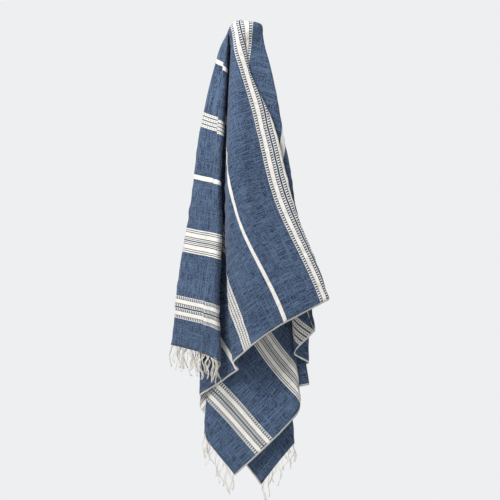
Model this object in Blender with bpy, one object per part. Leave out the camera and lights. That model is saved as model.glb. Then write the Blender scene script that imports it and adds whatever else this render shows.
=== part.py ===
"""A hand-loomed cotton bath towel, hung over one hook so that it falls in folds like a closed umbrella.

The cloth is one flat rectangle. Every fold runs away from the point on the hook, so a place on the cloth
is known by its distance from the hook and by its angle round the hook in the flat cloth. FOLDS says where
each fold stands at several distances from the hook, and the cloth between two folds is the layer that joins
them. Each short end has a fringe, which is one comb of yarn ends along its edge.

World axes: +X to the right, +Y towards the wall, +Z up. The origin is the top of the cloth on the hook.
"""

import math
from collections import namedtuple

import bpy
import numpy as np

MM = 0.001

# The flat towel
WIDTH = 0.914
LENGTH = 1.83
HOOK_TO_NEAR_EDGE = 0.774
CLOTH_THICKNESS = 0.0016

# The fringes
FRINGE_LENGTH = 0.065
FRINGE_TEETH = 44
TOOTH_SHARE = 0.5
SPINE = 0.005
FRINGE_THICKNESS = 0.0010
CLEARANCE = 0.0038
SAME_PLACE = 0.0015
STRAIGHT = 1e-4

# The flat top over the hook, the round shoulder below it, and how deep the bundle is at each distance
FLAT_TOP = (0.005, 0.02)
DISTANCES = (0.0, *FLAT_TOP, 0.05, 0.10, 0.15, 0.30, 0.50, 0.75, 1.05)
BUNDLE_SIDE = 0.011
TOP_HALF_WIDTH = 0.046
TOP_HALF_DEPTH = 0.030
TOP_SHIFT = 12
DEPTH_SHARE = (0.42, 0.55, 0.70, 0.85, 1.0, 1.05)
ANGLE_DISTANCES = (0.05, 0.15, 0.30, 0.50, 0.75, 1.00)
STEEPEST_RUN = 0.985
LIFTED_FROM, LIFTED_TO = (0.05, 0.14), (0.17, 0.60)

# Spacing of the mesh
RINGS = 14
RING_POWER = 1.15
FOLD_COLUMN = 0.007
MOST_FOLD_SHARE = 0.25
WIDEST_COLUMN = 0.075
LONGEST_SECTOR = 0.4
REFERENCE_DISTANCE = 0.70
EDGE_ROUNDS, EDGE_STEP = 14, 0.7

# How layers meet at a fold, and how finely the hanging is worked out
SMOOTHING_SAMPLES = 9
SHIFT_SHARE = 0.4
LEAST_TURN = 1e-4
SHIFT_FROM = 0.02
ROUND_FROM = 0.05
HANG_LEVELS = 161
LEVEL_POWER = 1.5

# around: where the fold leaves the hook, in degrees; angle: its angle in the flat towel
# x10 to x105: how far right of the bundle's middle it hangs, in mm, at 0.10 to 1.05 m
# before, after: depth of the layers beside it in mm, wall side positive; soft: its rounding in mm
# reach: share of its length that it hangs down; lift: how far it is hitched up near the top, in mm
Fold = namedtuple("Fold", "name around angle x10 x15 x30 x50 x75 x105 before after soft reach lift")
FOLDS = [
    Fold("wall middle", 180, 180, 0, 0, 0, 0, 0, 0, 46, 46, 30, 1.00, 0),
    Fold("wall left", 140, 128, -34, -38, -52, -60, -60, -60, 46, 46, 30, 1.00, 0),
    Fold("left selvedge", 112, 98.7, -53, -62, -88, -108, -128, -134, 46, 46, 10, 0.97, 6),
    Fold("left edge", 97, 92, -67, -82, -116, -149, -182, -214, 30, 6, 9, 0.976, 20),
    Fold("lap under", 89, 84, -52, -53, -70, -84, -100, -126, -26, -34, 6, 0.978, 8),
    Fold("left ridge", 84, 84, -53, -60, -73, -86, -102, -128, -38, -44, 8, 0.980, 0),
    Fold("left gap", 76, 80, -43, -43, -51, -60, -62, -64, -54, -10, 7, 0.977, -3),
    Fold("left inner", 73, 72, -47, -51, -77, -106, -130, -136, -2, 36, 8, 0.93, 0),
    Fold("back right", 63, 56, -23, -8, 8, 42, 91, 128, 38, 27, 7, 1.058, 0),
    Fold("left under", 56, 39.5, -41, -46, -68, -93, -115, -124, 19, 17, 8, 1.056, 0),
    Fold("left tip", 54, 37, -41, -46, -69, -95, -116, -120, 14, 4, 10, 1.056, 0),
    Fold("left slope", 51, 33.5, -39, -41, -52, -60, -64, -58, 0, 0, 12, 1.055, 0),
    Fold("left tuck", 48, 30.5, -33, -32, -34, -30, -22, -14, -24, -32, 6, 1.048, 0),
    Fold("front left", 45, 27, -38, -42, -50, -56, -44, -20, -36, -46, 9, 1.065, 0),
    Fold("front shoulder", 37, 20, -33, -34, -37, -35, 14, 44, -82, -82, 18, 1.065, 0),
    Fold("front crown", 25, 14, -23, -19, -12, -6, 66, 112, -92, -92, 30, 1.06, 0),
    Fold("front right", 12, 0, 5, 14.5, 76, 125, 213, 294, -62, -55, 7, 1.029, 0),
    Fold("right tuck", 4, -11, 1, -5, 22, 86, 168, 215, -49, -43, 6, 1.01, 0),
    Fold("right pleat", -24, -15, 26, 24, 50, 108, 199, 262, -38, -35, 6, 1.015, 0),
    Fold("right return", -37, -22, 36, 42, 70, 98, 152, 190, -33, -31, 6, 1.03, 0),
    Fold("right border", -50, -26, 49, 65, 97, 136, 177, 184, -30, -24, 8, 1.065, 0),
    Fold("right curl", -54, -29, 50, 63, 93, 104, 112, 146, -20, -16, 16, 1.10, 0),
    Fold("right far", -58, -31.5, 51, 62, 95, 134, 168, 168, -12, 22, 7, 1.10, 0),
    Fold("right dark", -60, -35, 42, 46, 72, 100, 128, 134, 24, 22, 6, 1.085, 0),
    Fold("dark far", -62, -36, 45, 50, 80, 118, 152, 190, 18, 12, 10, 1.10, 0),
    Fold("dark back", -64, -37, 41, 42, 68, 92, 112, 132, 8, 2, 7, 1.068, 0),
    Fold("lower right", -66, -38, 46, 50, 80, 114, 124, 157, -2, -8, 22, 1.051, 0),
    Fold("lower tip", -78.5, -50, 23, 7, 10, 14, 34, -12, 1, 1, 20, 1.05, 0),
    Fold("lower left", -84, -55.5, 13, -12, -22, -40, -67, -108, 12, 18, 8, 1.05, 0),
    Fold("wall right", -104, -75, 48, 54, 86, 120, 128, 130, 20, 42, 10, 0.98, 0),
    Fold("right selvedge", -125, -98.7, 40, 42, 48, 26, -22, -30, 46, 46, 10, 0.97, 0),
    Fold("wall right side", -150, -128, 21, 16, -4, -56, -120, -138, 46, 46, 30, 1.00, 0),
    Fold("wall middle again", -180, -180, 0, 0, 0, 0, 0, 0, 46, 46, 30, 1.00, 0),
]

# The folds that slant across the cloth: their angle at 0.15, 0.30, 0.50, 0.75 and 1.00 m from the hook
Turn = namedtuple("Turn", "name at15 at30 at50 at75 at100")
TURNS = [
    Turn("lap under", 83.5, 83.8, 84.0, 84.4, 84.6),
    Turn("left ridge", 78.5, 82.0, 83.4, 84.1, 84.3),
    Turn("left gap", 72.5, 76.5, 79.5, 79.5, 75),
    Turn("left inner", 68, 71, 72, 72, 72),
    Turn("front right", 1.5, -3.8, -1.8, 0.0, 0.0),
    Turn("right tuck", -6, -13, -11, -4.5, -4.5),
    Turn("right pleat", -17, -19, -15, -7.5, -7.5),
    Turn("right return", -24, -23.5, -19, -11, -11),
    Turn("right border", -31, -28, -22.5, -19.4, -24),
    Turn("right curl", -33, -31, -26.5, -23.4, -25.5),
    Turn("right far", -35, -33.3, -30.5, -28.6, -28.6),
    Turn("right dark", -37, -35.4, -33, -31.5, -31.5),
    Turn("dark far", -38, -37, -35, -33.8, -33.8),
    Turn("dark back", -39, -38.2, -36.8, -36, -36),
    Turn("lower right", -40, -39.4, -39, -39.5, -40.8),
]

CLOTH_COLOUR = (0.085, 0.135, 0.255, 1.0)
FRINGE_COLOUR = (0.78, 0.74, 0.66, 1.0)


def column(name):
    """One column of FOLDS as an array."""
    return np.array([getattr(fold, name) for fold in FOLDS], float)


def smooth_step(value, low, high):
    t = np.clip((value - low) / (high - low), 0.0, 1.0)
    return t * t * (3 - 2 * t)


def smooth_through(knots, values, at):
    """Smooth curves through values, one row for each curve, read at the places at along knots."""
    slopes = np.gradient(values, knots, axis=1)
    i = np.clip(np.searchsorted(knots, at) - 1, 0, len(knots) - 2)
    span = knots[i + 1] - knots[i]
    t = np.clip((at - knots[i]) / span, 0.0, None)
    past = np.maximum(t - 1.0, 0.0)
    t = t - past
    start = (1 + 2 * t) * (1 - t) ** 2
    end = t * t * (3 - 2 * t)
    curve = values[:, i] * start + values[:, i + 1] * end
    curve += span * (slopes[:, i] * t * (1 - t) ** 2 - slopes[:, i + 1] * t * t * (1 - t))
    return curve + past * span * slopes[:, i + 1]


def fold_angles():
    """Angle of each fold in the flat cloth at ANGLE_DISTANCES, in radians, a row for each fold."""
    around = column("around")
    top = around - TOP_SHIFT * (1 + np.cos(np.radians(around))) / 2
    turns = {turn.name: turn[1:] for turn in TURNS}
    rows = [turns.get(fold.name, (fold.angle,) * 5) for fold in FOLDS]
    return np.radians(np.column_stack([top, rows]))


def fold_lines(distance):
    """Angle in the cloth, place across and both depths of every fold at these distances from the hook."""
    root = np.sqrt(distance)
    knots = np.sqrt(np.array(DISTANCES))
    round_top = np.radians(column("around"))
    top_x = -TOP_HALF_WIDTH * np.sin(round_top)
    top_y = -TOP_HALF_DEPTH * np.cos(round_top)
    nothing = np.zeros(len(FOLDS))
    across = [top_x] + [column(f"x{n}") * MM for n in (10, 15, 30, 50, 75, 105)]
    level = [-near * STEEPEST_RUN * np.sin(round_top) for near in FLAT_TOP]
    across = [nothing] + level + [BUNDLE_SIDE + row for row in across]
    x = smooth_through(knots, np.stack(across, axis=1), root)
    depths = []
    level = [-near * STEEPEST_RUN * np.cos(round_top) for near in FLAT_TOP]
    for name in ("before", "after"):
        deep = [column(name) * MM * share for share in DEPTH_SHARE]
        depths.append(smooth_through(knots, np.stack([nothing] + level + [top_y] + deep, axis=1), root))
    steps = np.sqrt(np.array(ANGLE_DISTANCES))
    angle = np.array([np.interp(root, steps, row) for row in fold_angles()])
    return angle, x, depths[0], depths[1]


def edge_distance(angle):
    """How far the edge of the flat cloth is from the hook in this direction."""
    across = max(math.cos(angle), 1e-9)
    away = max(-math.cos(angle), 1e-9)
    along = max(abs(math.sin(angle)), 1e-9)
    return min(HOOK_TO_NEAR_EDGE / across, (WIDTH - HOOK_TO_NEAR_EDGE) / away, LENGTH / 2 / along)


def layer_places(place, distance):
    """Angle in the cloth, x and y of the columns place, which count folds, at one distance from the hook."""
    angle, x, before, after = (row[:, 0] for row in fold_lines(np.array([distance])))
    here = np.interp(place, np.arange(len(FOLDS)), angle)
    turn = np.abs(after - before) / max(distance, SHIFT_FROM) * SHIFT_SHARE + LEAST_TURN
    knots = np.stack([angle + turn, angle - turn], axis=1).ravel()
    depth = np.stack([before, after], axis=1).ravel()
    # np.interp needs rising knots, and the fold angles fall from 180 to -180 degrees.
    knots, depth = np.maximum.accumulate(knots[::-1]), depth[::-1]
    room = np.abs(np.diff(angle)) / 2
    widest = np.minimum(np.append(room, room[-1]), np.append(room[0], room))
    rounding = np.minimum(column("soft") * MM / max(distance, ROUND_FROM), widest)
    window = np.interp(place, np.arange(len(FOLDS)), rounding)
    xs, ys = np.zeros(len(place)), np.zeros(len(place))
    for offset in np.linspace(-1.0, 1.0, SMOOTHING_SAMPLES):
        there = here + offset * window
        there = (there + math.pi) % (2 * math.pi) - math.pi
        xs += np.interp(there, angle[::-1], x[::-1])
        ys += np.interp(there, knots, depth)
    return here, xs / SMOOTHING_SAMPLES, ys / SMOOTHING_SAMPLES


def hang(place, steps, farthest):
    """Hung positions and angles of each column place, at the shares steps of each column's farthest."""
    levels = np.linspace(0.0, 1.0, HANG_LEVELS) ** LEVEL_POWER * farthest.max()
    angles, xs, ys = (np.array(rows) for rows in zip(*[layer_places(place, level) for level in levels]))
    run = np.diff(levels)[:, None]
    sideways = np.hypot(np.diff(xs, axis=0), np.diff(ys, axis=0)) / run
    fall = run * np.sqrt(1.0 - np.minimum(sideways, STEEPEST_RUN) ** 2)
    reach = np.interp(place, np.arange(len(FOLDS)), column("reach"))
    zs = -np.vstack([np.zeros(len(place)), np.cumsum(fall, axis=0)]) * reach
    hitch = smooth_step(levels, *LIFTED_FROM) * (1 - smooth_step(levels, *LIFTED_TO))
    zs += hitch[:, None] * np.interp(place, np.arange(len(FOLDS)), column("lift")) * MM
    rows = []
    for j in range(len(place)):
        wanted = np.asarray(steps) * farthest[j]
        grids = (xs, ys, zs, angles)
        rows.append(np.stack([np.interp(wanted, levels, grid[:, j]) for grid in grids], axis=1))
    rows = np.array(rows)
    return rows[:, :, :3], rows[:, :, 3]


def cloth_columns():
    """The columns of the mesh as fold numbers: each fold, a step to either side of it, and even steps."""
    low = fold_angles()[:, -1]
    corner = math.atan2(LENGTH / 2, HOOK_TO_NEAR_EDGE)
    places = []
    for i in range(len(FOLDS) - 1):
        length = (low[i] - low[i + 1]) * REFERENCE_DISTANCE
        side = min(FOLD_COLUMN / length, MOST_FOLD_SHARE)
        inner = max(1, math.ceil((1 - 2 * side) * min(length, LONGEST_SECTOR) / WIDEST_COLUMN))
        places += [float(i)]
        places += [i + side + (1 - 2 * side) * k / inner for k in range(inner + 1)]
    for angle in (corner, -corner):
        exact = np.interp(-angle, -low, np.arange(len(FOLDS)))
        nearest = min(range(len(places)), key=lambda k: abs(places[k] - exact))
        places[nearest] = float(exact)
    return np.array(places)


def column_ends(places):
    """How far each column runs from the hook to the edge of the cloth."""
    ends = np.full(len(places), HOOK_TO_NEAR_EDGE)
    stations = np.sqrt(np.array(ANGLE_DISTANCES))
    by_distance = np.array([np.interp(places, np.arange(len(FOLDS)), row) for row in fold_angles().T])
    for _ in range(EDGE_ROUNDS):
        for j in range(len(places)):
            angle = np.interp(math.sqrt(ends[j]), stations, by_distance[:, j])
            ends[j] += (edge_distance(angle) - ends[j]) * EDGE_STEP
    return ends


def plain_material(name, colour, roughness):
    material = bpy.data.materials.new(name)
    material.use_nodes = True
    shader = material.node_tree.nodes["Principled BSDF"]
    shader.inputs["Base Color"].default_value = colour
    shader.inputs["Roughness"].default_value = roughness
    shader.inputs["Metallic"].default_value = 0.0
    return material


def add_sheet(name, points, faces, thickness, material):
    """A sheet of this thickness, half of it to either side of the faces."""
    mesh = bpy.data.meshes.new(name)
    mesh.from_pydata([tuple(point) for point in points], [], faces)
    mesh.materials.append(material)
    mesh.validate()
    sheet = bpy.data.objects.new(name, mesh)
    bpy.context.scene.collection.objects.link(sheet)
    solid = sheet.modifiers.new("thickness", "SOLIDIFY")
    solid.thickness = thickness
    solid.offset = 0.0
    return sheet


def make_cloth(material):
    """The towel: a fan of columns that share one point on the hook."""
    places = cloth_columns()
    steps = (np.arange(1, RINGS + 1) / RINGS) ** RING_POWER
    rows, _ = hang(places, steps, column_ends(places))
    count = len(places)
    points = [np.zeros(3)] + [rows[j, k] for j in range(count) for k in range(RINGS)]
    faces = []
    for j in range(count):
        near, far = 1 + j * RINGS, 1 + (j + 1) % count * RINGS
        faces.append((0, near, far))
        faces += [(near + k, near + k + 1, far + k + 1, far + k) for k in range(RINGS - 1)]
    return add_sheet("cloth", points, faces, CLOTH_THICKNESS, material)


def cloth_end(side):
    """The cloth's end on this side: how far across it each corner of the edge is, and where it hangs."""
    places = cloth_columns()
    far = column_ends(places)
    edge, angle = (rows[:, 0] for rows in hang(places, [1.0], far))
    at_end = far * np.sin(angle) * side > LENGTH / 2 - STRAIGHT
    across = HOOK_TO_NEAR_EDGE - (far * np.cos(angle))[at_end]
    order = np.argsort(across)
    return across[order], edge[at_end][order]


def make_fringe(name, side, material):
    """One comb: a narrow spine along the end of the cloth, and a tooth for each group of yarn ends."""
    pitch = WIDTH / FRINGE_TEETH
    gap = pitch * (1 - TOOTH_SHARE) / 2
    across, edge = cloth_end(side)
    sides = [k * pitch + shift for k in range(FRINGE_TEETH) for shift in (gap, pitch - gap)]
    inner = [u for u in across if min(abs(u - side_u) for side_u in sides) > SAME_PLACE]
    us = sorted(sides + [u for u in inner if sides[0] < u < sides[-1]])
    top = np.array([[np.interp(u, across, edge[:, axis]) for axis in range(3)] for u in us])
    down = np.array([0.0, 0.0, -1.0])
    top += down * CLEARANCE
    drops = [0.0, SPINE, FRINGE_LENGTH / 2, FRINGE_LENGTH]
    points, faces = [], []
    for drop in drops:
        points += [point + down * drop for point in top]
    wide = len(us)
    for j in range(wide - 1):
        middle = (us[j] + us[j + 1]) / 2 % pitch
        rows = len(drops) - 1 if gap < middle < pitch - gap else 1
        for k in range(rows):
            a, b = k * wide + j, (k + 1) * wide + j
            faces.append((a, b, b + 1, a + 1))
    if side < 0:
        faces = [face[::-1] for face in faces]
    return add_sheet(name, points, faces, FRINGE_THICKNESS, material)


def main():
    for thing in list(bpy.data.objects):
        bpy.data.objects.remove(thing, do_unlink=True)
    cloth = plain_material("cloth", CLOTH_COLOUR, 0.9)
    yarn = plain_material("yarn", FRINGE_COLOUR, 0.9)
    make_cloth(cloth)
    make_fringe("fringe_left_end", 1, yarn)
    make_fringe("fringe_right_end", -1, yarn)


main()
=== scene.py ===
# %% [markdown]
# # A hand-loomed bath towel on one hook
#
# This lesson hangs one flat rectangle of woven cotton over a point, so that it falls in folds like a closed
# umbrella, and then gives it its stripes, its weave and its loose yarn ends. The towel starts as the rectangle that
# came off the loom, and a table of folds says where each part of it hangs. The table's numbers were set one by one,
# and it lets some layers hang up to a tenth longer or shorter than they are when flat.
#
# First the imported model is loaded. It is the frame that all pieces have to stay in, so its box is kept.

# %% Load the frame
import math
from collections import namedtuple

import bpy
import numpy as np
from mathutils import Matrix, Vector
from mathutils.bvhtree import BVHTree


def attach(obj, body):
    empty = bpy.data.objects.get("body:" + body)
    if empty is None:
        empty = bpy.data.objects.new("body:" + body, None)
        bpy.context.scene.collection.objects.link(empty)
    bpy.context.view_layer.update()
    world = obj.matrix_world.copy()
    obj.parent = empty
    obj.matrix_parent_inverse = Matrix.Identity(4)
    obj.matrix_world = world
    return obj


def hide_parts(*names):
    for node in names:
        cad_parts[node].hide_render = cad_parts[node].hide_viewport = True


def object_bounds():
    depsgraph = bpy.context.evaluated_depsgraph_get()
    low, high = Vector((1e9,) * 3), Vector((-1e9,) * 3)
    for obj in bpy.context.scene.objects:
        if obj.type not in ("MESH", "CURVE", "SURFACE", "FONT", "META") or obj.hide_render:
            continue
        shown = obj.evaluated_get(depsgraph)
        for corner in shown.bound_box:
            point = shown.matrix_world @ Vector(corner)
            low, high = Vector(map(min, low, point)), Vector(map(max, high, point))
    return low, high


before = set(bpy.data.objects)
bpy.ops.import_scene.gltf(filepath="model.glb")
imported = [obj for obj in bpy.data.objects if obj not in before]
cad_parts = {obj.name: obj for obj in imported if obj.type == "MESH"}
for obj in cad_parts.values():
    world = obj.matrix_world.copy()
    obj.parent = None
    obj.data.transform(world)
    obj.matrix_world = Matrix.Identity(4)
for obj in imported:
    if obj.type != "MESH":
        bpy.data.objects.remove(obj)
cad_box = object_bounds()
print("CAD box", [tuple(round(value, 4) for value in corner) for corner in cad_box])

MM = 0.001
TINY = 1e-12

# %% [markdown]
# ## The camera
#
# The towel is seen straight from the front, from about three metres, with its middle at the height of the lens. The
# field is just wider than the towel is high, so that a little air shows round it.

# %% Place the camera
FIELD = 1.325
VIEW_DISTANCE = 3.0
VIEW_CENTRE = Vector((0.024, 0.0, -0.6095))


def make_camera():
    """A camera in front of the towel, level, and as wide as FIELD at the hook."""
    lens = bpy.data.cameras.new("camera")
    lens.lens_unit = "FOV"
    lens.angle = 2 * math.atan(FIELD / 2 / VIEW_DISTANCE)
    camera = bpy.data.objects.new("camera", lens)
    bpy.context.scene.collection.objects.link(camera)
    camera.location = VIEW_CENTRE - Vector((0.0, VIEW_DISTANCE, 0.0))
    camera.rotation_euler = (math.pi / 2, 0.0, 0.0)
    bpy.context.scene.camera = camera
    return camera


print("camera at", tuple(make_camera().location))

# %% [markdown]
# ## The flat towel and its folds
#
# On one hook a rectangle hangs like a closed umbrella: every fold runs away from the hook. So each point of the cloth
# is named by how far it is from the hook, and by its angle round the hook in the flat towel, from 0 towards the near
# selvedge to 180 towards the far one. The table has a row for each fold, from the wall side round by the left and the
# front to the right. Between two folds the cloth is one layer of the bundle.

# %% Sizes and folds
WIDTH = 0.914
LENGTH = 1.83
HOOK_TO_NEAR_EDGE = 0.774
THICKNESS = 0.0016

# Out to the distances of FLAT_TOP the cloth lies almost level over the hook.
FLAT_TOP = (0.005, 0.02)
DISTANCES = (0.0, *FLAT_TOP, 0.05, 0.10, 0.15, 0.30, 0.50, 0.75, 1.05)
# The middle of the bundle hangs this far right of the hook, and the bundle has this size 0.05 m from the hook.
BUNDLE_SIDE = 0.011
TOP_HALF_WIDTH = 0.046
TOP_HALF_DEPTH = 0.030
# Degrees by which the front folds turn in the flat cloth close to the hook
TOP_SHIFT = 12
# The share of each layer's depth that it has at 0.10 to 1.05 m
DEPTH_SHARE = (0.42, 0.55, 0.70, 0.85, 1.0, 1.05)
ANGLE_DISTANCES = (0.05, 0.15, 0.30, 0.50, 0.75, 1.00)
# How far the cloth runs level for each metre of it on the flat top, and the most that counts lower down
STEEPEST_RUN = 0.985
# Where the lift of a fold comes in and where it dies away again, as distances from the hook
LIFTED_FROM, LIFTED_TO = (0.05, 0.14), (0.17, 0.60)

# around: where the fold leaves the hook, in degrees; angle: its angle in the flat towel
# x10 to x105: how far right of the bundle's middle it hangs, in mm, at 0.10 to 1.05 m
# before, after: depth of the layers beside it in mm, wall side positive; soft: its rounding in mm
# reach: share of its length that it hangs down; lift: how far it is hitched up near the top, in mm
Fold = namedtuple("Fold", "name around angle x10 x15 x30 x50 x75 x105 before after soft reach lift")
FOLDS = [
    Fold("wall middle", 180, 180, 0, 0, 0, 0, 0, 0, 46, 46, 30, 1.00, 0),
    Fold("wall left", 140, 128, -34, -38, -52, -60, -60, -60, 46, 46, 30, 1.00, 0),
    Fold("left selvedge", 112, 98.7, -53, -62, -88, -108, -128, -134, 46, 46, 10, 0.97, 6),
    Fold("left edge", 97, 92, -67, -82, -116, -149, -182, -214, 30, 6, 9, 0.976, 20),
    Fold("lap under", 89, 84, -52, -53, -70, -84, -100, -126, -26, -34, 6, 0.978, 8),
    Fold("left ridge", 84, 84, -53, -60, -73, -86, -102, -128, -38, -44, 8, 0.980, 0),
    Fold("left gap", 76, 80, -43, -43, -51, -60, -62, -64, -54, -10, 7, 0.977, -3),
    Fold("left inner", 73, 72, -47, -51, -77, -106, -130, -136, -2, 36, 8, 0.93, 0),
    Fold("back right", 63, 56, -23, -8, 8, 42, 91, 128, 38, 27, 7, 1.058, 0),
    Fold("left under", 56, 39.5, -41, -46, -68, -93, -115, -124, 19, 17, 8, 1.056, 0),
    Fold("left tip", 54, 37, -41, -46, -69, -95, -116, -120, 14, 4, 10, 1.056, 0),
    Fold("left slope", 51, 33.5, -39, -41, -52, -60, -64, -58, 0, 0, 12, 1.055, 0),
    Fold("left tuck", 48, 30.5, -33, -32, -34, -30, -22, -14, -24, -32, 6, 1.048, 0),
    Fold("front left", 45, 27, -38, -42, -50, -56, -44, -20, -36, -46, 9, 1.065, 0),
    Fold("front shoulder", 37, 20, -33, -34, -37, -35, 14, 44, -82, -82, 18, 1.065, 0),
    Fold("front crown", 25, 14, -23, -19, -12, -6, 66, 112, -92, -92, 30, 1.06, 0),
    Fold("front right", 12, 0, 5, 14.5, 76, 125, 213, 294, -62, -55, 7, 1.029, 0),
    Fold("right tuck", 4, -11, 1, -5, 22, 86, 168, 215, -49, -43, 6, 1.01, 0),
    Fold("right pleat", -24, -15, 26, 24, 50, 108, 199, 262, -38, -35, 6, 1.015, 0),
    Fold("right return", -37, -22, 36, 42, 70, 98, 152, 190, -33, -31, 6, 1.03, 0),
    Fold("right border", -50, -26, 49, 65, 97, 136, 177, 184, -30, -24, 8, 1.065, 0),
    Fold("right curl", -54, -29, 50, 63, 93, 104, 112, 146, -20, -16, 16, 1.10, 0),
    Fold("right far", -58, -31.5, 51, 62, 95, 134, 168, 168, -12, 22, 7, 1.10, 0),
    Fold("right dark", -60, -35, 42, 46, 72, 100, 128, 134, 24, 22, 6, 1.085, 0),
    Fold("dark far", -62, -36, 45, 50, 80, 118, 152, 190, 18, 12, 10, 1.10, 0),
    Fold("dark back", -64, -37, 41, 42, 68, 92, 112, 132, 8, 2, 7, 1.068, 0),
    Fold("lower right", -66, -38, 46, 50, 80, 114, 124, 157, -2, -8, 22, 1.051, 0),
    Fold("lower tip", -78.5, -50, 23, 7, 10, 14, 34, -12, 1, 1, 20, 1.05, 0),
    Fold("lower left", -84, -55.5, 13, -12, -22, -40, -67, -108, 12, 18, 8, 1.05, 0),
    Fold("wall right", -104, -75, 48, 54, 86, 120, 128, 130, 20, 42, 10, 0.98, 0),
    Fold("right selvedge", -125, -98.7, 40, 42, 48, 26, -22, -30, 46, 46, 10, 0.97, 0),
    Fold("wall right side", -150, -128, 21, 16, -4, -56, -120, -138, 46, 46, 30, 1.00, 0),
    Fold("wall middle again", -180, -180, 0, 0, 0, 0, 0, 0, 46, 46, 30, 1.00, 0),
]

# The folds that slant across the cloth: their angle at 0.15, 0.30, 0.50, 0.75 and 1.00 m from the hook
Turn = namedtuple("Turn", "name at15 at30 at50 at75 at100")
TURNS = [
    Turn("lap under", 83.5, 83.8, 84.0, 84.4, 84.6),
    Turn("left ridge", 78.5, 82.0, 83.4, 84.1, 84.3),
    Turn("left gap", 72.5, 76.5, 79.5, 79.5, 75),
    Turn("left inner", 68, 71, 72, 72, 72),
    Turn("front right", 1.5, -3.8, -1.8, 0.0, 0.0),
    Turn("right tuck", -6, -13, -11, -4.5, -4.5),
    Turn("right pleat", -17, -19, -15, -7.5, -7.5),
    Turn("right return", -24, -23.5, -19, -11, -11),
    Turn("right border", -31, -28, -22.5, -19.4, -24),
    Turn("right curl", -33, -31, -26.5, -23.4, -25.5),
    Turn("right far", -35, -33.3, -30.5, -28.6, -28.6),
    Turn("right dark", -37, -35.4, -33, -31.5, -31.5),
    Turn("dark far", -38, -37, -35, -33.8, -33.8),
    Turn("dark back", -39, -38.2, -36.8, -36, -36),
    Turn("lower right", -40, -39.4, -39, -39.5, -40.8),
]

flat_corner = math.degrees(math.atan2(LENGTH / 2, HOOK_TO_NEAR_EDGE))
print(len(FOLDS), "folds; the near corners are", round(flat_corner, 1), "degrees round")

# %% [markdown]
# ## Hanging the cloth
#
# Going down a fold, its place across is a smooth curve through the table's numbers, and its height follows from the
# length of cloth above it, times the reach in the table. The curves run on the square root of the distance, which
# makes the cloth leave the hook almost level and then fall, as over a round peg.

# %% Smooth curves through the table


def column(name):
    """One column of FOLDS as an array."""
    return np.array([getattr(fold, name) for fold in FOLDS], float)


def smooth_step(value, low, high):
    """0 up to low, 1 from high, and a smooth rise between them."""
    t = np.clip((value - low) / (high - low), 0.0, 1.0)
    return t * t * (3 - 2 * t)


def smooth_through(knots, values, at):
    """Smooth curves through values, one row for each curve, read at the places at along knots."""
    slopes = np.gradient(values, knots, axis=1)
    i = np.clip(np.searchsorted(knots, at) - 1, 0, len(knots) - 2)
    span = knots[i + 1] - knots[i]
    t = np.clip((at - knots[i]) / span, 0.0, None)
    past = np.maximum(t - 1.0, 0.0)
    t = t - past
    start = (1 + 2 * t) * (1 - t) ** 2
    end = t * t * (3 - 2 * t)
    curve = values[:, i] * start + values[:, i + 1] * end
    curve += span * (slopes[:, i] * t * (1 - t) ** 2 - slopes[:, i + 1] * t * t * (1 - t))
    return curve + past * span * slopes[:, i + 1]


print("reach from", column("reach").min(), "to", column("reach").max())

# %% Follow the folds down


def fold_angles():
    """Angle of each fold in the flat cloth at ANGLE_DISTANCES, in radians, a row for each fold."""
    around = column("around")
    top = around - TOP_SHIFT * (1 + np.cos(np.radians(around))) / 2
    turns = {turn.name: turn[1:] for turn in TURNS}
    rows = [turns.get(fold.name, (fold.angle,) * 5) for fold in FOLDS]
    return np.radians(np.column_stack([top, rows]))


def fold_lines(distance):
    """Angle in the cloth, place across and both depths of every fold at these distances from the hook."""
    root = np.sqrt(distance)
    knots = np.sqrt(np.array(DISTANCES))
    round_top = np.radians(column("around"))
    top_x = -TOP_HALF_WIDTH * np.sin(round_top)
    top_y = -TOP_HALF_DEPTH * np.cos(round_top)
    nothing = np.zeros(len(FOLDS))
    across = [top_x] + [column(f"x{n}") * MM for n in (10, 15, 30, 50, 75, 105)]
    level = [-near * STEEPEST_RUN * np.sin(round_top) for near in FLAT_TOP]
    across = [nothing] + level + [BUNDLE_SIDE + row for row in across]
    x = smooth_through(knots, np.stack(across, axis=1), root)
    depths = []
    level = [-near * STEEPEST_RUN * np.cos(round_top) for near in FLAT_TOP]
    for name in ("before", "after"):
        deep = [column(name) * MM * share for share in DEPTH_SHARE]
        depths.append(smooth_through(knots, np.stack([nothing] + level + [top_y] + deep, axis=1), root))
    steps = np.sqrt(np.array(ANGLE_DISTANCES))
    angle = np.array([np.interp(root, steps, row) for row in fold_angles()])
    return angle, x, depths[0], depths[1]


print("bundle half a metre down", round(float(np.ptp(fold_lines(np.array([0.5]))[1])), 3), "m wide")

# %% Fill in the layers between the folds


def edge_distance(angle):
    """How far the edge of the flat cloth is from the hook in this direction."""
    across = max(math.cos(angle), TINY)
    away = max(-math.cos(angle), TINY)
    along = max(abs(math.sin(angle)), TINY)
    return min(HOOK_TO_NEAR_EDGE / across, (WIDTH - HOOK_TO_NEAR_EDGE) / away, LENGTH / 2 / along)


# A step in depth at a fold is spread to each side over SHIFT_SHARE of its own size, and LEAST_TURN more. A fold is
# rounded by the mean of several samples, spread over the softness in the table. Both are turned into angles round
# the hook, as if no nearer to it than SHIFT_FROM and ROUND_FROM.
SHIFT_SHARE = 0.4
LEAST_TURN = 1e-4
SHIFT_FROM = 0.02
SMOOTHING_SAMPLES = 9
ROUND_FROM = 0.05


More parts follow.
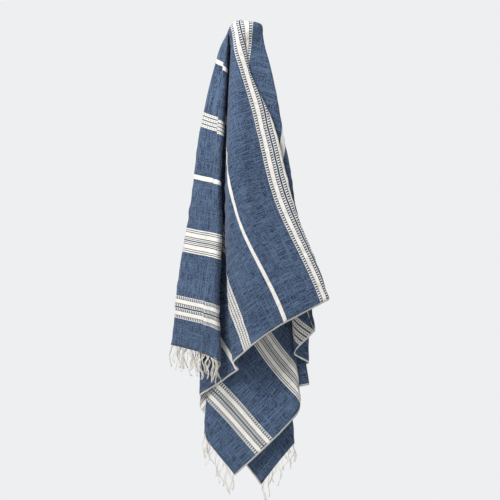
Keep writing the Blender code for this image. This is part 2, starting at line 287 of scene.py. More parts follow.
def layer_places(place, distance):
    """Angle in the cloth, x and y of the columns place, which count folds, at one distance from the hook."""
    angle, x, before, after = (row[:, 0] for row in fold_lines(np.array([distance])))
    here = np.interp(place, np.arange(len(FOLDS)), angle)
    turn = np.abs(after - before) / max(distance, SHIFT_FROM) * SHIFT_SHARE + LEAST_TURN
    knots = np.stack([angle + turn, angle - turn], axis=1).ravel()
    depth = np.stack([before, after], axis=1).ravel()
    # np.interp needs rising knots, and the fold angles fall from 180 to -180 degrees.
    knots, depth = np.maximum.accumulate(knots[::-1]), depth[::-1]
    room = np.abs(np.diff(angle)) / 2
    widest = np.minimum(np.append(room, room[-1]), np.append(room[0], room))
    rounding = np.minimum(column("soft") * MM / max(distance, ROUND_FROM), widest)
    window = np.interp(place, np.arange(len(FOLDS)), rounding)
    xs, ys = np.zeros(len(place)), np.zeros(len(place))
    for offset in np.linspace(-1.0, 1.0, SMOOTHING_SAMPLES):
        there = here + offset * window
        there = (there + math.pi) % (2 * math.pi) - math.pi
        xs += np.interp(there, angle[::-1], x[::-1])
        ys += np.interp(there, knots, depth)
    return here, xs / SMOOTHING_SAMPLES, ys / SMOOTHING_SAMPLES


print("corners", round(edge_distance(math.radians(flat_corner)), 3), "m from the hook")

# %% Let the layers hang
# The cloth is followed down over this many distances from the hook, which are closer together near it.
HANG_LEVELS = 161
LEVEL_POWER = 1.5


def hang(place, steps, farthest):
    """Hung positions and angles of each column place, at the shares steps of each column's farthest."""
    levels = np.linspace(0.0, 1.0, HANG_LEVELS) ** LEVEL_POWER * farthest.max()
    angles, xs, ys = (np.array(rows) for rows in zip(*[layer_places(place, level) for level in levels]))
    run = np.diff(levels)[:, None]
    sideways = np.hypot(np.diff(xs, axis=0), np.diff(ys, axis=0)) / run
    fall = run * np.sqrt(1.0 - np.minimum(sideways, STEEPEST_RUN) ** 2)
    reach = np.interp(place, np.arange(len(FOLDS)), column("reach"))
    zs = -np.vstack([np.zeros(len(place)), np.cumsum(fall, axis=0)]) * reach
    hitch = smooth_step(levels, *LIFTED_FROM) * (1 - smooth_step(levels, *LIFTED_TO))
    zs += hitch[:, None] * np.interp(place, np.arange(len(FOLDS)), column("lift")) * MM
    rows = []
    for j in range(len(place)):
        wanted = np.asarray(steps) * farthest[j]
        rows.append(np.stack([np.interp(wanted, levels, grid[:, j]) for grid in (xs, ys, zs, angles)], axis=1))
    rows = np.array(rows)
    return rows[:, :, :3], rows[:, :, 3]


print("each column is followed down over", HANG_LEVELS, "distances")

# %% [markdown]
# ## The mesh of the cloth
#
# The mesh is a fan, because the folds are: its columns run from the hook to the edge, closest together beside each
# fold, and its rings cross them. A grid along the threads would be simpler, but sharp folds would cut across its
# squares and look stepped. Each vertex also keeps its place in the flat towel as its UV, in metres, so the woven
# pattern can be drawn there.

# %% Lay out the columns and rings
# Columns are COLUMN_STEP apart at REFERENCE_DISTANCE, in sectors counted as LONGEST_SECTOR long at most. CROWDING
# pulls them towards the folds, and RING_POWER pulls the rings towards the hook.
COLUMN_STEP = 0.0125
FEWEST_COLUMNS = 7
CROWDING = 0.75
REFERENCE_DISTANCE = 0.70
LONGEST_SECTOR = 0.42
RINGS = 104
# The end of each column is found in rounds, each of which goes this share of the way to it.
EDGE_ROUNDS, EDGE_STEP = 14, 0.7
RING_POWER = 1.08


def column_ends(places):
    """How far each column runs from the hook to the edge of the cloth."""
    ends = np.full(len(places), HOOK_TO_NEAR_EDGE)
    stations = np.sqrt(np.array(ANGLE_DISTANCES))
    by_distance = np.array([np.interp(places, np.arange(len(FOLDS)), row) for row in fold_angles().T])
    for _ in range(EDGE_ROUNDS):
        for j in range(len(places)):
            angle = np.interp(math.sqrt(ends[j]), stations, by_distance[:, j])
            ends[j] += (edge_distance(angle) - ends[j]) * EDGE_STEP
    return ends


def cloth_columns():
    """The columns of the mesh as fold numbers, crowded beside the folds, with one at each near corner."""
    low = fold_angles()[:, -1]
    places = []
    for i in range(len(FOLDS) - 1):
        length = min((low[i] - low[i + 1]) * REFERENCE_DISTANCE, LONGEST_SECTOR)
        count = max(FEWEST_COLUMNS, math.ceil(length / COLUMN_STEP))
        share = np.arange(count) / count
        places += list(i + share - CROWDING * np.sin(2 * math.pi * share) / (2 * math.pi))
    for corner in (flat_corner, -flat_corner):
        exact = np.interp(-math.radians(corner), -low, np.arange(len(FOLDS)))
        nearest = min(range(len(places)), key=lambda k: abs(places[k] - exact))
        places[nearest] = float(exact)
    return np.array(places)


places = cloth_columns()
edge_at = column_ends(places)
steps = (np.arange(1, RINGS + 1) / RINGS) ** RING_POWER
hung, angles = hang(places, steps, edge_at)
radius = steps[None, :] * edge_at[:, None]
flat_u = HOOK_TO_NEAR_EDGE - radius * np.cos(angles)
flat_v = radius * np.sin(angles)
print(len(places), "columns of", RINGS, "rings:", len(places) * RINGS * 2, "triangles for one side")

# %% [markdown]
# ## Crinkles and wavy edges
#
# Loomed cotton that has been washed is never smooth between its folds. It has long soft ripples that run with the
# hang, small crinkles all over, and edges that flutter a little. All three push the cloth out of its own surface by
# a few millimetres, and they die away near the hook, where the layers lie close.

# %% Add the crinkles
RIPPLE, CRINKLE, FLUTTER = 0.0016, 0.0007, 0.0022
# Longest and shortest wave in metres, number of waves and seed
RIPPLE_WAVES = (0.16, 0.07, 14, 3)
CRINKLE_WAVES = (0.07, 0.025, 40, 5)
FLUTTER_WAVES = (0.16, 0.05, 12, 7)
RIPPLE_STRETCH = 3.5
FLUTTER_REACH = 0.035
FREE_FROM, FREE_TO = 0.10, 0.45


def waves(x, y, longest, shortest, count, seed, stretch=1.0):
    """A smooth random field of about unit height, from many crossing waves; stretch lengthens them along y."""
    chance = np.random.default_rng(seed)
    total = np.zeros(np.shape(x))
    for _ in range(count):
        length = math.exp(chance.uniform(math.log(shortest), math.log(longest)))
        turn, phase = chance.uniform(0, math.pi), chance.uniform(0, 2 * math.pi)
        along = x * math.cos(turn) + y / stretch * math.sin(turn)
        total = total + np.sin(2 * math.pi * along / length + phase)
    return total / math.sqrt(count / 2)


def grid_normals(grid):
    """Unit normals of a closed fan of columns, a row of points each."""
    around = np.roll(grid, -1, axis=0) - np.roll(grid, 1, axis=0)
    down = np.gradient(grid, axis=1)
    normal = np.cross(around, down)
    return normal / np.maximum(np.linalg.norm(normal, axis=2, keepdims=True), TINY)


def edge_nearness(u, v):
    """1 at the free edges of the cloth, 0 from FLUTTER_REACH inwards."""
    inside = np.minimum(np.minimum(u, WIDTH - u), LENGTH / 2 - np.abs(v))
    return np.clip(1 - inside / FLUTTER_REACH, 0.0, 1.0) ** 2


def crinkled(grid, u, v, distance, angle):
    """The hung grid with its ripples, crinkles and fluttering edges."""
    arc = angle * REFERENCE_DISTANCE
    free = smooth_step(distance, FREE_FROM, FREE_TO)[..., None]
    height = RIPPLE * waves(arc, distance, *RIPPLE_WAVES, stretch=RIPPLE_STRETCH)
    height = height + CRINKLE * waves(u, v, *CRINKLE_WAVES)
    height = height + FLUTTER * edge_nearness(u, v) * waves(u, v, *FLUTTER_WAVES)
    return grid + grid_normals(grid) * height[..., None] * free


hung = crinkled(hung, flat_u, flat_v, radius, angles)
print("lowest cloth", round(float(hung[..., 2].min()), 4))

# %% Make the cloth mesh


def fan_faces(count, rings):
    """Faces of a closed fan: vertex 0 at the hook, then each column's rings."""
    faces = []
    for j in range(count):
        near, far = 1 + j * rings, 1 + (j + 1) % count * rings
        faces.append((0, near, far))
        faces += [(near + k, near + k + 1, far + k + 1, far + k) for k in range(rings - 1)]
    return faces


def new_mesh(name, points, faces):
    """An object with these points and faces, linked to the scene."""
    mesh = bpy.data.meshes.new(name)
    mesh.from_pydata([tuple(point) for point in points], [], faces)
    mesh.validate()
    piece = bpy.data.objects.new(name, mesh)
    bpy.context.scene.collection.objects.link(piece)
    return piece


def add_flat_uv(piece, flat):
    """The place of each vertex in the flat towel, in metres, as the piece's UV map."""
    layer = piece.data.uv_layers.new(name="flat")
    corners = np.empty(len(piece.data.loops), int)
    piece.data.loops.foreach_get("vertex_index", corners)
    layer.data.foreach_set("uv", flat[corners].ravel())


def apply_modifiers(piece):
    """Turns the piece's modifiers into mesh and leaves the piece selected."""
    bpy.ops.object.select_all(action="DESELECT")
    piece.select_set(True)
    bpy.context.view_layer.objects.active = piece
    for modifier in list(piece.modifiers):
        bpy.ops.object.modifier_apply(modifier=modifier.name)


def make_cloth():
    """The cloth: the hung fan with its flat place as UV, thickened to both sides."""
    points = np.vstack([np.zeros((1, 3)), hung.reshape(-1, 3)])
    flat = np.vstack([[[HOOK_TO_NEAR_EDGE, 0.0]], np.stack([flat_u, flat_v], axis=2).reshape(-1, 2)])
    cloth = new_mesh("woven_cloth", points, fan_faces(len(places), RINGS))
    add_flat_uv(cloth, flat)
    solid = cloth.modifiers.new("thickness", "SOLIDIFY")
    solid.thickness = THICKNESS
    solid.offset = 0.0
    apply_modifiers(cloth)
    bpy.ops.object.shade_smooth()
    return cloth


cloth = make_cloth()
print("cloth", len(cloth.data.polygons) * 2, "triangles")

# %% [markdown]
# ## The fringe
#
# The towel was cut from the loom with its warp ends left long. They are soft, thin and never straight. A few
# neighbours always wander together, more than half of them twist into a loose string on the way down, and some are
# knotted just below the cloth. Each yarn is a thin tube of a few dozen faces that leaves the cut end along the cloth
# and then hangs. Where a string would hang through a layer of the cloth, it leans a little to the front or to the
# wall instead. All the yarns of one end are one mesh.

# %% Follow the cut end
YARN_POINTS = 13
YARN_SIDES = 4
ROOT_INSIDE = 0.004
EDGE_SLACK = 1e-6


def end_line(side):
    """Place across the towel, hung position and outward direction of the cut end on this side."""
    at_end = np.abs(flat_v[:, -1] * side - LENGTH / 2) < EDGE_SLACK
    u, edge = flat_u[at_end, -1], hung[at_end, -1]
    inner = hung[at_end, -3]
    order = np.argsort(u)
    out = (edge - inner)[order]
    return u[order], edge[order], out / np.linalg.norm(out, axis=1, keepdims=True)


def along_end(line, u):
    """Position and outward direction at u across the towel."""
    us, edge, out = line
    read = [np.interp(u, us, table[:, axis]) for table in (edge, out) for axis in range(3)]
    return np.array(read[:3]), np.array(read[3:])


left_end, right_end = end_line(1), end_line(-1)
print("the cut ends have", len(left_end[0]), "and", len(right_end[0]), "points")

# %% Paths and tubes
# A string has bent from the cloth's direction to straight down after BEND_BY of its length, and sways in full
# from SWAY_FROM on.
BEND_BY = 0.25
SWAY_FROM = 0.4
DOWN = np.array([0.0, 0.0, -1.0])
TUBE_ASIDE = (0.3, 1.0, 0.1)


def string_path(root, out, length, sway):
    """Points down one string: out along the cloth at first, then down, swaying more towards its end."""
    share = np.linspace(0.0, 1.0, YARN_POINTS)
    turn = smooth_step(share, 0.0, BEND_BY)[:, None]
    heading = out * (1 - turn) + DOWN * turn
    heading /= np.linalg.norm(heading, axis=1, keepdims=True)
    step = length / (YARN_POINTS - 1)
    path = root + np.vstack([np.zeros(3), np.cumsum(heading[:-1] * step, axis=0)])
    for axis, (size, turns, phase) in zip((0, 1), sway):
        wave = np.sin(2 * math.pi * turns * share + phase) - math.sin(phase)
        path[:, axis] += size * wave * smooth_step(share, 0.0, SWAY_FROM)
    return path - out * ROOT_INSIDE * (1 - share)[:, None]


def tube(path, widths, sides=YARN_SIDES):
    """Vertices and faces of a closed tube round a path, with its radius at each point."""
    ahead = np.gradient(path, axis=0)
    ahead /= np.linalg.norm(ahead, axis=1, keepdims=True)
    across = np.cross(ahead, TUBE_ASIDE)
    across /= np.linalg.norm(across, axis=1, keepdims=True)
    up = np.cross(ahead, across)
    spin = np.arange(sides) * 2 * math.pi / sides
    ring = across[:, None] * np.cos(spin)[None, :, None] + up[:, None] * np.sin(spin)[None, :, None]
    points = (path[:, None] + ring * np.asarray(widths)[:, None, None]).reshape(-1, 3)
    faces = []
    for k in range(len(path) - 1):
        for s in range(sides):
            a, b = k * sides + s, k * sides + (s + 1) % sides
            faces.append((a, b, b + sides, a + sides))
    faces.append(tuple(range(sides))[::-1])
    faces.append(tuple(range(len(points) - sides, len(points))))
    return points, faces


print("a yarn has", (YARN_POINTS - 1) * YARN_SIDES + 2, "faces")

# %% Sizes of the strings
STRINGS = 62
# Shares of the room along the edge that each string has
STRING_SHIFT, STRING_WIDTH = 0.2, 0.85
YARNS_IN_STRING = (2, 4)
STRING_LENGTH = 0.072
SHORTEST_SHARE = 0.55
# How far strings sway sideways and in depth, the share of it that one string has, its waves and where they start
SWAY = (0.0075, 0.0025)
SWAY_SHARE, SWAY_TURNS, SWAY_START = (0.2, 1.0), (0.5, 1.5), (0, 6.3)
# The leans that are tried, in metres; a lean is full after LEAN_BY of the length, and a longer one counts against it
LEANS = (0.0, 0.004, -0.004, 0.008, -0.008, 0.012, -0.012, 0.017, -0.017, 0.022, -0.022)
LEAN_BY, LEAN_COST = 0.45, 0.02
# How far strings should stay from the cloth, apart from their first points, which leave its edge
KEEP_CLEAR, FREE_POINTS = 0.0032, 2
YARN_RADIUS = 0.00055
THINNER_OR_THICKER = (0.8, 1.2)
# Twisted yarns coil round their middle and fray towards the end
TWISTED_SHARE = 0.45
TWIST_RADIUS = 0.0008
GATHER_FROM, GATHER_BY = 0.05, 0.35
COILS, COIL_START = 1.5, 0.6
FRAY, FRAY_FROM = 1.6, 0.6
# Loose yarns come together less and swing apart
LOOSE_GATHER = 0.4
LOOSE_TURNS, LOOSE_SWING = (0.6, 2.0), 0.0022
KNOTTED_SHARE = 0.22
KNOT_POINTS = (3, 6)
KNOT_LENGTH, KNOT_RADIUS, KNOT_SIDES = 0.0038, 0.0018, 6
KNOT_SHAPE = (0.55, 1.0, 1.0, 0.55)

print(STRINGS, "strings on each end,", round(WIDTH / STRINGS / MM, 1), "mm apart")

# %% Knots, and strings that keep clear of the cloth


def knot_at(path, k):
    """A small bulge round a string at its point k."""
    ahead = path[k + 1] - path[k - 1]
    ahead = ahead / np.linalg.norm(ahead)
    stations = np.linspace(-0.5, 0.5, len(KNOT_SHAPE))[:, None] * KNOT_LENGTH
    return tube(path[k] + stations * ahead, np.array(KNOT_SHAPE) * KNOT_RADIUS, KNOT_SIDES)


cloth_tree = BVHTree.FromPolygons(
    [vertex.co for vertex in cloth.data.vertices],
    [polygon.vertices for polygon in cloth.data.polygons],
)
print("the strings keep clear of", len(cloth.data.polygons), "faces of cloth")


def lean_clear(path):
    """The path with the smallest lean, towards the wall or away from it, that keeps it clear of the cloth."""
    ramp = smooth_step(np.linspace(0.0, 1.0, YARN_POINTS), 0.0, LEAN_BY)

    def score(lean):
        moved = path[FREE_POINTS:] + np.outer(ramp[FREE_POINTS:], (0.0, lean, 0.0))
        nearest = min(cloth_tree.find_nearest(Vector(point))[3] for point in moved)
        return min(nearest, KEEP_CLEAR) - abs(lean) * LEAN_COST

    return path + np.outer(ramp, (0.0, max(LEANS, key=score), 0.0))


# %% Lay the yarns of each end


def string_tubes(line, u, width, chance):
    """The tubes of one string: its yarns, which gather or stay loose, and its knot if it has one."""
    root, out = along_end(line, u)
    length = STRING_LENGTH * chance.uniform(SHORTEST_SHARE, 1.0)
    sway = [
        (size * chance.uniform(*SWAY_SHARE), chance.uniform(*SWAY_TURNS), chance.uniform(*SWAY_START))
        for size in SWAY
    ]
    middle = lean_clear(string_path(root, out, length, sway))
    share = np.linspace(0.0, 1.0, YARN_POINTS)
    knot = int(chance.integers(*KNOT_POINTS)) if chance.uniform() < KNOTTED_SHARE else 0
    twisted = knot or chance.uniform() < TWISTED_SHARE
    together_by = share[knot] if knot else GATHER_BY
    gather = smooth_step(share, GATHER_FROM, together_by) if twisted else LOOSE_GATHER * share
    hold = gather[:, None]
    count = int(chance.integers(*YARNS_IN_STRING, endpoint=True))
    tubes = [knot_at(middle, knot)] if knot else []
    for k in range(count):
        begin = along_end(line, u + ((k + 0.5) / count - 0.5) * width)[0] - root
        turn = 2 * math.pi * (k / count + COILS * share) + chance.uniform(0, COIL_START)
        fray = 1 + FRAY * smooth_step(share, FRAY_FROM, 1.0) * chance.uniform(0, 1)
        coil = np.stack([np.cos(turn), np.sin(turn), 0 * turn], axis=1) * TWIST_RADIUS * fray[:, None]
        swing = np.sin(2 * math.pi * (chance.uniform(*LOOSE_TURNS) * share + chance.uniform()))
        path = middle + begin * (1 - hold) + coil * hold
        path[:, 0] += swing * LOOSE_SWING * share * (1 - gather)
        tubes.append(tube(path, np.full(YARN_POINTS, YARN_RADIUS * chance.uniform(*THINNER_OR_THICKER))))
    return tubes


def make_fringe(name, line, seed):
    """One mesh of all the strings on one cut end."""
    chance = np.random.default_rng(seed)
    points, faces = [], []
    pitch = WIDTH / STRINGS
    for k in range(STRINGS):
        u = (k + 0.5 + chance.uniform(-STRING_SHIFT, STRING_SHIFT)) * pitch
        for more, walls in string_tubes(line, u, pitch * STRING_WIDTH, chance):
            base = sum(len(part) for part in points)
            points.append(more)
            faces += [tuple(base + corner for corner in wall) for wall in walls]
    fringe = new_mesh(name, np.vstack(points), faces)
    for polygon in fringe.data.polygons:
        polygon.use_smooth = True
    return fringe


left_fringe = make_fringe("yarns_left_end", left_end, 21)
right_fringe = make_fringe("yarns_right_end", right_end, 22)
print("yarns", len(left_fringe.data.polygons) * 2, "triangles on one end")

# %% [markdown]
# ## Writing a material as sums
#
# The stripes, the ladders and the streaks of the threads are all worked out from the UV of the flat towel. Written
# node by node that would be long and hard to read, so a small class lets Python's own signs add the nodes: an
# expression such as 1 - mask * 0.5 makes two Math nodes.

# %% A small class for shader sums


class Value:
    """One number or colour that flows between the nodes of a material."""

    def __init__(self, tree, socket):
        self.tree, self.socket = tree, socket

    def node(self, kind, settings=(), inputs=(), output=0):
        """Adds a node: its settings first, then its inputs by name or number, and returns one output."""
        made = self.tree.nodes.new(kind)
        for name, value in dict(settings).items():
            setattr(made, name, value)
        for name, value in dict(inputs).items():
            if isinstance(value, Value):
                self.tree.links.new(value.socket, made.inputs[name])
            else:
                made.inputs[name].default_value = value
        return Value(self.tree, made.outputs[output])

    def math(self, operation, *others):
        inputs = dict(enumerate((self, *others)))
        return self.node("ShaderNodeMath", {"operation": operation}, inputs)

    def __add__(self, other):
        return self.math("ADD", other)

    def __sub__(self, other):
        return self.math("SUBTRACT", other)

    def __mul__(self, other):
        return self.math("MULTIPLY", other)

    def __truediv__(self, other):
        return self.math("DIVIDE", other)

    def __rsub__(self, other):
        return self.node("ShaderNodeMath", {"operation": "SUBTRACT"}, {0: other, 1: self})

    def __rtruediv__(self, other):
        return self.node("ShaderNodeMath", {"operation": "DIVIDE"}, {0: other, 1: self})

    __radd__ = __add__
    __rmul__ = __mul__

    def __abs__(self):
        return self.math("ABSOLUTE")

    def within(self, low, high, soft):
        """About 1 between low and high and 0 outside, with an edge as wide as soft."""
        half, middle = (high - low) / 2, (high + low) / 2
        return ((half - abs(self - middle)) / soft + 0.5).clamped()

    def clamped(self):
        return self.math("MAXIMUM", 0.0).math("MINIMUM", 1.0)

    def repeating(self, pitch):
        """Share of the way through each repeat, from 0 to 1."""
        return (self / pitch).math("FRACT")

    def mixed(self, first, second):
        """first where this is 0, second where it is 1; both are colours."""
        settings = {"data_type": "RGBA"}
        return self.node("ShaderNodeMix", settings, {0: self, 6: first, 7: second}, output=2)

    def either(self, other):
        """The larger of the two, which joins two masks."""
        return self.math("MAXIMUM", other)


def new_material(name):
    """A material with a Principled shader, and the shader."""
    material = bpy.data.materials.new(name)
    material.use_nodes = True
    shader = material.node_tree.nodes["Principled BSDF"]
    shader.inputs["Metallic"].default_value = 0.0
    return material, shader


# %% [markdown]
# ## The woven cotton
#
# The ground is blue warp and weft that were dyed unevenly, so it shows lighter and darker threads both ways and a
# few thick slubs. The pattern is woven with cream weft. From the middle of the towel to each end it has a band of two
# stripes with ladders, a single stripe, four rows of little squares, a single stripe, a band of two stripes with thin
# lines, and the ladder band again. The long edges have a narrow cream selvedge. All the sizes are in metres of the
# flat towel.

# %% Colours, and the sizes of the pattern
INK = (0.013, 0.025, 0.058, 1.0)
SKY = (0.104, 0.162, 0.265, 1.0)
NAVY = (0.012, 0.020, 0.045, 1.0)
CREAM = (0.76, 0.73, 0.66, 1.0)
PALE = (0.90, 0.885, 0.84, 1.0)

# How far from the middle of the towel each band and stripe lies
LADDER_BANDS = (0.0, 0.809)
SINGLE_STRIPES = (0.151, 0.457)
SQUARES_BAND = 0.310
LINES_BAND = 0.626
STRIPE_HALF, STRIPE_SOFT = 0.006, 0.0008
SELVEDGE, SELVEDGE_CREAM, SELVEDGE_SOFT = 0.0038, 0.85, 0.0006

# Ladder band, from its middle out: a ladder, a stripe and another ladder, each with one rail. A rung has its start,
# its end and its softness as shares of the pitch, and so have the holes and joins further on.
LADDER_SOFT, LADDER_HALF = 0.0006, 0.0296
LADDER_STRIPE = (0.0106, 0.0212)
INNER_LADDER, OUTER_LADDER = (0.0020, 0.0094), (0.0224, 0.0304)
INNER_RAIL, OUTER_RAIL, RAIL_CREAM = (0.0020, 0.0034), (0.0288, 0.0304), 0.7
RUNG_PITCH, RUNG = 0.0064, (0.27, 0.73, 0.12)

# Squares band: cream rows with blue holes, joined by faint cream threads
SQUARES_SOFT, SQUARES_HALF = 0.0007, 0.0196
ROW_PITCH, ROW_HALF, HOLE_HALF = 0.0101, 0.0034, 0.0012
HOLE_PITCH, HOLE = 0.0060, (0.28, 0.72, 0.12)
JOIN_PITCH, JOIN, JOIN_CREAM = 0.0028, (0.36, 0.64, 0.12), 0.35

# Lines band, from its middle out: two thin lines, a stripe and two more thin lines
LINES_SOFT, LINES_HALF = 0.0005, 0.0320
LINES_STRIPE = (0.0106, 0.0218)
THIN_LINES = ((0.0016, 0.0038), (0.0056, 0.0082), (0.0238, 0.0270), (0.0290, 0.0325))

print("rungs are", round(RUNG_PITCH / MM, 1), "mm apart and thin lines about",
      round((THIN_LINES[0][1] - THIN_LINES[0][0]) / MM, 1), "mm wide")

# %% Draw the bands


def ladder_pattern(u, d):
    """Cream and navy of the band with two stripes and four ladders, at distance d from its middle."""
    stripes = d.within(*LADDER_STRIPE, LADDER_SOFT)
    rungs = u.repeating(RUNG_PITCH).within(*RUNG)
    rows = d.within(*INNER_LADDER, LADDER_SOFT).either(d.within(*OUTER_LADDER, LADDER_SOFT))
    rails = d.within(*INNER_RAIL, LADDER_SOFT).either(d.within(*OUTER_RAIL, LADDER_SOFT))
    ground = d.within(-LADDER_HALF, LADDER_HALF, LADDER_SOFT)
    return stripes.either(rungs * rows).either(rails * RAIL_CREAM), ground


def squares_pattern(u, d):
    """Cream and navy of the band with four rows of little squares."""
    row = abs(d.repeating(ROW_PITCH) - 0.5) * ROW_PITCH
    light_row = row.within(-ROW_HALF, ROW_HALF, SQUARES_SOFT)
    holes = row.within(-HOLE_HALF, HOLE_HALF, SQUARES_SOFT) * u.repeating(HOLE_PITCH).within(*HOLE)
    joins = u.repeating(JOIN_PITCH).within(*JOIN) * JOIN_CREAM
    whole = d.within(-SQUARES_HALF, SQUARES_HALF, SQUARES_SOFT)
    return (light_row * (1 - holes)).either(joins) * whole, whole


def lines_pattern(d):
    """Cream and navy of the band with two stripes between thin lines."""
    cream = d.within(*LINES_STRIPE, LINES_SOFT)
    for line in THIN_LINES:
        cream = cream.either(d.within(*line, LINES_SOFT))
    return cream, d.within(-LINES_HALF, LINES_HALF, LINES_SOFT)


def woven_pattern(u, v):
    """How much of the thread is cream and how much is navy, anywhere in the flat towel."""
    from_middle = abs(v)
    cream = (1 - u.within(SELVEDGE, WIDTH - SELVEDGE, SELVEDGE_SOFT)) * SELVEDGE_CREAM
    navy = cream * 0.0
    for middle in SINGLE_STRIPES:
        cream = cream.either(from_middle.within(middle - STRIPE_HALF, middle + STRIPE_HALF, STRIPE_SOFT))
    for middle in LADDER_BANDS:
        light, dark = ladder_pattern(u, abs(from_middle - middle))
        cream, navy = cream.either(light), navy.either(dark)
    light, dark = squares_pattern(u, from_middle - SQUARES_BAND)
    cream, navy = cream.either(light), navy.either(dark)
    light, dark = lines_pattern(abs(from_middle - LINES_BAND))
    return cream.either(light), navy.either(dark)


# %% The threads and the cotton
THREAD = 0.0009
# Streaks for each metre across and along the towel, and their detail
WARP, WEFT, FLECK = (500.0, 34.0, 3.0), (70.0, 500.0, 3.0), (480.0, 260.0, 2.0)
CLOUD, SOFT_LUMPS = (9.0, 9.0, 3.0), (42.0, 34.0, 3.0)
WARP_SLUB, WARP_SLUB_ABOVE = (260.0, 6.0, 0.0), (0.73, 1.2, 0.06)
WEFT_SLUB, WEFT_SLUB_ABOVE = (9.0, 300.0, 0.0), (0.72, 1.2, 0.06)
# How much each kind of streak lightens the blue, and what is taken off their sum
WARP_LIGHT, WEFT_LIGHT, FLECK_LIGHT, CLOUD_LIGHT, LIGHT_OFF, SLUB_LIGHT = 2.4, 1.2, 2.2, 0.4, 2.64, 0.8
NAVY_SHARE = 0.55
WEFT_SHADE, FLECK_SHADE, SHADE_OFF = 1.4, 0.8, 0.6
# Heights of the bump, in metres
WEAVE_HEIGHT, STREAK_HEIGHT, CREAM_HEIGHT, LUMP_HEIGHT = 0.00010, 0.0007, 0.0004, 0.0030
COTTON_ROUGHNESS, COTTON_SPECULAR = 0.92, 0.25
COTTON_SHEEN, SHEEN_ROUGHNESS = 0.15, 0.5


def threads(start, u, v, across, along, detail):
    """Streaky noise: about 1/across metres wide in u and 1/along metres long in v."""
    place = start.node("ShaderNodeCombineXYZ", (), {0: u * across, 1: v * along})
    settings = {"noise_dimensions": "2D"}
    return start.node("ShaderNodeTexNoise", settings, {"Vector": place, "Scale": 1.0, "Detail": detail})


def make_cotton():
    """The material of the cloth, worked out from its flat place."""
    material, shader = new_material("cotton")
    tree = material.node_tree
    uv = tree.nodes.new("ShaderNodeUVMap")
    uv.uv_map = "flat"
    start = Value(tree, uv.outputs[0])
    split = start.node("ShaderNodeSeparateXYZ", (), {0: start}).socket.node
    u, v = Value(tree, split.outputs[0]), Value(tree, split.outputs[1])
    warp, weft, fleck, cloud = (threads(start, u, v, *kind) for kind in (WARP, WEFT, FLECK, CLOUD))
    slub = threads(start, u, v, *WARP_SLUB).within(*WARP_SLUB_ABOVE)
    slub = slub.either(threads(start, u, v, *WEFT_SLUB).within(*WEFT_SLUB_ABOVE))
    cream, navy = woven_pattern(u, v)
    light = warp * WARP_LIGHT + weft * WEFT_LIGHT + fleck * FLECK_LIGHT + cloud * CLOUD_LIGHT
    light = (light - LIGHT_OFF).clamped().either(slub * SLUB_LIGHT)
    blue = light.mixed(INK, SKY)
    blue = (navy * NAVY_SHARE).mixed(blue, NAVY)
    shade = (weft * WEFT_SHADE + fleck * FLECK_SHADE - SHADE_OFF).clamped()
    colour = cream.mixed(blue, shade.mixed(CREAM, PALE))
    tree.links.new(colour.socket, shader.inputs["Base Color"])
    weave_u = (u * (math.pi / THREAD)).math("SINE")
    weave_v = (v * (math.pi / THREAD)).math("SINE")
    height = (weave_u * weave_v) * WEAVE_HEIGHT + (warp + weft) * STREAK_HEIGHT + cream * CREAM_HEIGHT
    height = height + threads(start, u, v, *SOFT_LUMPS) * LUMP_HEIGHT
    bump = start.node("ShaderNodeBump", (), {"Strength": 1.0, "Distance": 1.0, "Height": height})
    tree.links.new(bump.socket, shader.inputs["Normal"])
    shader.inputs["Roughness"].default_value = COTTON_ROUGHNESS
    shader.inputs["Specular IOR Level"].default_value = COTTON_SPECULAR
    shader.inputs["Sheen Weight"].default_value = COTTON_SHEEN
    shader.inputs["Sheen Roughness"].default_value = SHEEN_ROUGHNESS
    return material


cloth.data.materials.append(make_cotton())
print("cotton has", len(cloth.data.materials[0].node_tree.nodes), "nodes")

# %% [markdown]
# ## The loose yarn
#
# The yarn ends are undyed cotton. They are a little warmer than the woven stripes, and a fine noise makes them fuzzy.

# %% Yarn material
YARN_DARK = (0.66, 0.61, 0.51, 1.0)
YARN_LIGHT = (0.88, 0.85, 0.78, 1.0)
FUZZ_SCALE, FUZZ_DETAIL, FUZZ_HEIGHT = 260.0, 2.0, 0.0006
FUZZ_LIGHT, FUZZ_OFF = 1.6, 0.3
YARN_ROUGHNESS, YARN_SHEEN = 0.9, 0.2


def make_yarn():
    """The material of both fringes."""
    material, shader = new_material("yarn")
    tree = material.node_tree
    place = Value(tree, tree.nodes.new("ShaderNodeTexCoord").outputs["Object"])
    noise = {"Vector": place, "Scale": FUZZ_SCALE, "Detail": FUZZ_DETAIL}
    fuzz = place.node("ShaderNodeTexNoise", (), noise)
    colour = (fuzz * FUZZ_LIGHT - FUZZ_OFF).math("MAXIMUM", 0.0).mixed(YARN_DARK, YARN_LIGHT)
    tree.links.new(colour.socket, shader.inputs["Base Color"])
    relief = {"Strength": 1.0, "Distance": 1.0, "Height": fuzz * FUZZ_HEIGHT}
    bump = place.node("ShaderNodeBump", (), relief)
    tree.links.new(bump.socket, shader.inputs["Normal"])
    shader.inputs["Roughness"].default_value = YARN_ROUGHNESS
    shader.inputs["Sheen Weight"].default_value = YARN_SHEEN
    return material


yarn = make_yarn()
for fringe in (left_fringe, right_fringe):
    fringe.data.materials.append(yarn)
print("yarn made")

# %% [markdown]
# ## Joining the pieces to the frame
#
# The visible cloth stands for the CAD cloth, and each fringe for its CAD comb.

# %% Hang the pieces on the frame and hide their CAD parts
for piece, node, slot in (
    (cloth, "cloth", "cloth"),
    (left_fringe, "fringe_left_end", "yarn"),
    (right_fringe, "fringe_right_end", "yarn"),
):
    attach(piece, "root")
    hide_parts(node)

# %% [markdown]
# ## Light and floor
#
# A large soft light stands up on the left, as a window would, and a bright even surround keeps the shadows soft. The
# floor is pale and plain, well below the towel.

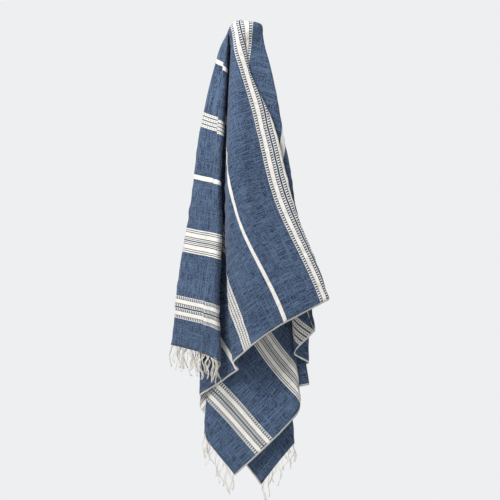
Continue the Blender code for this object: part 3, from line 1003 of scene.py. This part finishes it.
# %% Floor, surround and light
FLOOR_BELOW = 0.22
FLOOR_SIZE = 2.2
FLOOR_COLOUR, FLOOR_ROUGHNESS = (0.80, 0.80, 0.79, 1.0), 0.9
# The surround looks brighter to the camera than the light that it gives.
SURROUND_COLOUR = (0.97, 0.98, 1.0, 1.0)
SURROUND_SEEN, SURROUND_LIGHT = 0.88, 0.36
# Name, place, size in metres and power in watts
LIGHTS = (
    ("window", (-1.6, -2.2, 2.3), 1.4, 186.0),
    ("fill", (2.4, -2.2, -0.2), 2.0, 8.0),
)


def make_floor():
    """A plain floor, which is only for the picture."""
    bpy.ops.object.select_all(action="DESELECT")
    bpy.ops.mesh.primitive_plane_add(size=FLOOR_SIZE, location=(0.0, 0.0, cad_box[0].z - FLOOR_BELOW))
    floor = bpy.context.active_object
    floor.name = "floor"
    material, shader = new_material("floor")
    shader.inputs["Base Color"].default_value = FLOOR_COLOUR
    shader.inputs["Roughness"].default_value = FLOOR_ROUGHNESS
    floor.data.materials.append(material)


def add_surround():
    """An even, bright world, with its own strength for the camera and for the light that it gives."""
    world = bpy.data.worlds.new("surround")
    bpy.context.scene.world = world
    world.use_nodes = True
    tree = world.node_tree
    background = tree.nodes["Background"]
    background.inputs["Color"].default_value = SURROUND_COLOUR
    seen = tree.nodes.new("ShaderNodeLightPath").outputs["Is Camera Ray"]
    strength = Value(tree, seen) * (SURROUND_SEEN - SURROUND_LIGHT) + SURROUND_LIGHT
    tree.links.new(strength.socket, background.inputs["Strength"])


def add_light(name, location, size, power):
    """A soft round lamp that looks at the middle of the towel."""
    lamp = bpy.data.lights.new(name, "AREA")
    lamp.shape = "DISK"
    lamp.size = size
    lamp.energy = power
    light = bpy.data.objects.new(name, lamp)
    light.location = location
    light.rotation_euler = (VIEW_CENTRE - Vector(location)).to_track_quat("-Z", "Y").to_euler()
    bpy.context.scene.collection.objects.link(light)


make_floor()
add_surround()
for light in LIGHTS:
    add_light(*light)
bpy.context.scene.view_settings.view_transform = "Standard"
print("lights placed")
